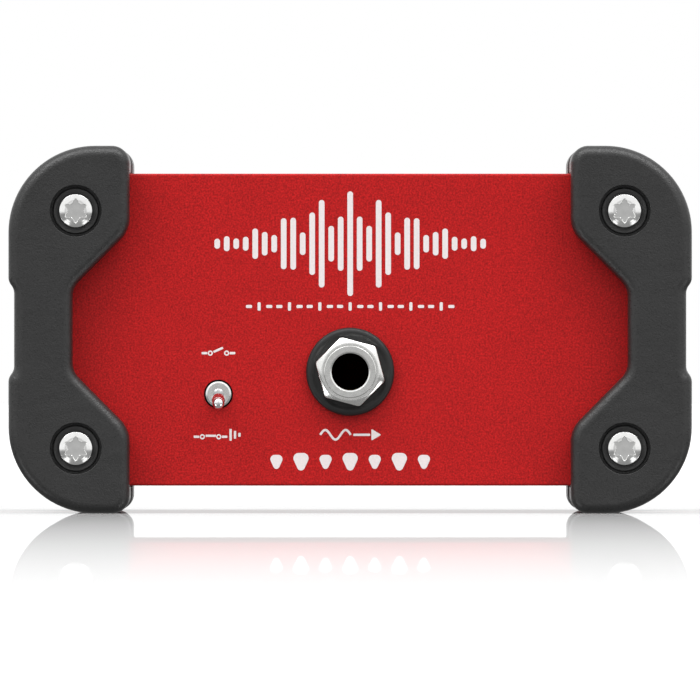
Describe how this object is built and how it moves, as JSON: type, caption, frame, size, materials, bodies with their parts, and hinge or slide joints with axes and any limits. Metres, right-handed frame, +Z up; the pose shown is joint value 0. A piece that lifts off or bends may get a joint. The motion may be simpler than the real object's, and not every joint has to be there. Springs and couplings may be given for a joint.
{
  "type": "guitar line box",
  "caption": "Red box on moulded corner bumpers that ends a guitar line: output jack and ground lift toggle in front, XLR input and power socket behind.",
  "frame": {"origin": "on the surface it stands on, under the middle of the box", "axes": "+X to the right in a view of the front panel, +Y from the front panel to the rear one, +Z up"},
  "size_m": [0.1208, 0.13, 0.065],
  "materials": {
    "red_powder_coat": "fine red powder coat on aluminium, satin",
    "bumper_rubber": "dark grey moulded rubber with a fine grain, matte",
    "bush_plastic": "grey moulded plastic, satin",
    "zinc_screws": "bright zinc plate, satin",
    "nickel_plate": "nickel plate, satin",
    "chrome_lever": "polished chrome",
    "satin_nickel": "die cast, satin nickel",
    "steel_can": "drawn steel, satin",
    "black_plastic": "black moulded plastic, satin",
    "capacitor_sleeve": "shrunk plastic sleeve, gloss",
    "brass_contact": "bare brass, satin",
    "panel_print": "off-white screen print, satin",
    "green_board": "green solder mask, satin"
  },
  "bodies": {
    "box": {"amplifier_chip_1": "black_plastic", "amplifier_chip_2": "black_plastic", "body_sleeve": "red_powder_coat", "bumper_bush_front_lower_left": "bush_plastic", "bumper_bush_front_lower_right": "bush_plastic", "bumper_bush_front_upper_left": "bush_plastic", "bumper_bush_front_upper_right": "bush_plastic", "bumper_bush_rear_lower_left": "bush_plastic", "bumper_bush_rear_lower_right": "bush_plastic", "bumper_bush_rear_upper_left": "bush_plastic", "bumper_bush_rear_upper_right": "bush_plastic", "bumper_front_left": "bumper_rubber", "bumper_front_right": "bumper_rubber", "bumper_rear_left": "bumper_rubber", "bumper_rear_right": "bumper_rubber", "bumper_screw_front_lower_left": "zinc_screws", "bumper_screw_front_lower_right": "zinc_screws", "bumper_screw_front_upper_left": "zinc_screws", "bumper_screw_front_upper_right": "zinc_screws", "bumper_screw_rear_lower_left": "zinc_screws", "bumper_screw_rear_lower_right": "zinc_screws", "bumper_screw_rear_upper_left": "zinc_screws", "bumper_screw_rear_upper_right": "zinc_screws", "circuit_board": "green_board", "filter_capacitor_1": "capacitor_sleeve", "filter_capacitor_2": "capacitor_sleeve", "front_panel": "red_powder_coat", "jack_bushing": "nickel_plate", "jack_housing": "black_plastic", "jack_nut": "nickel_plate", "jack_washer": "black_plastic", "line_transformer": "steel_can", "power_jack_housing": "black_plastic", "power_jack_pin": "nickel_plate", "rear_panel": "red_powder_coat", "switch_bushing": "nickel_plate", "switch_housing": "black_plastic", "switch_terminal_1": "brass_contact", "switch_terminal_2": "brass_contact", "switch_terminal_3": "brass_contact", "xlr_contact_1": "brass_contact", "xlr_contact_2": "brass_contact", "xlr_contact_3": "brass_contact", "xlr_insert": "black_plastic", "xlr_screw_lower": "zinc_screws", "xlr_screw_upper": "zinc_screws", "xlr_shell": "satin_nickel"},
    "lever": {"switch_lever": "chrome_lever"},
    "rocker": {"switch_rocker": "brass_contact"},
    "latch": {"xlr_latch": "black_plastic"},
    "tip_contact": {"jack_tip_spring": "brass_contact"},
    "sleeve_contact": {"jack_sleeve_spring": "brass_contact"}
  },
  "joints": [
    {"name": "lever_tilt", "type": "hinge", "parent": "box", "child": "lever", "pos_m": [-0.0233, -0.057, 0.0211], "axis": [-1, 0, 0], "range_deg": [0, 29]},
    {"name": "rocker_tilt", "type": "hinge", "parent": "box", "child": "rocker", "pos_m": [-0.0233, -0.0512, 0.0211], "axis": [1, 0, 0], "range_deg": [0, 20]},
    {"name": "latch_push", "type": "slide", "parent": "box", "child": "latch", "axis": [0, -1, 0], "range_m": [0, 0.0015], "stiffness_N_per_m": 300, "springref_m": -0.001},
    {"name": "tip_contact_flex", "type": "hinge", "parent": "box", "child": "tip_contact", "pos_m": [0, -0.046, 0.03105], "axis": [1, 0, 0], "range_deg": [0, 5], "stiffness_Nm_per_rad": 0.02, "springref_deg": -2.86},
    {"name": "sleeve_contact_flex", "type": "hinge", "parent": "box", "child": "sleeve_contact", "pos_m": [0, -0.04, 0.01945], "axis": [1, 0, 0], "range_deg": [0, 5], "stiffness_Nm_per_rad": 0.02, "springref_deg": -2.86}
  ],
  "couplings": [
    {"joint": "rocker_tilt", "follows": "lever_tilt", "ratio": 0.68}
  ]
}
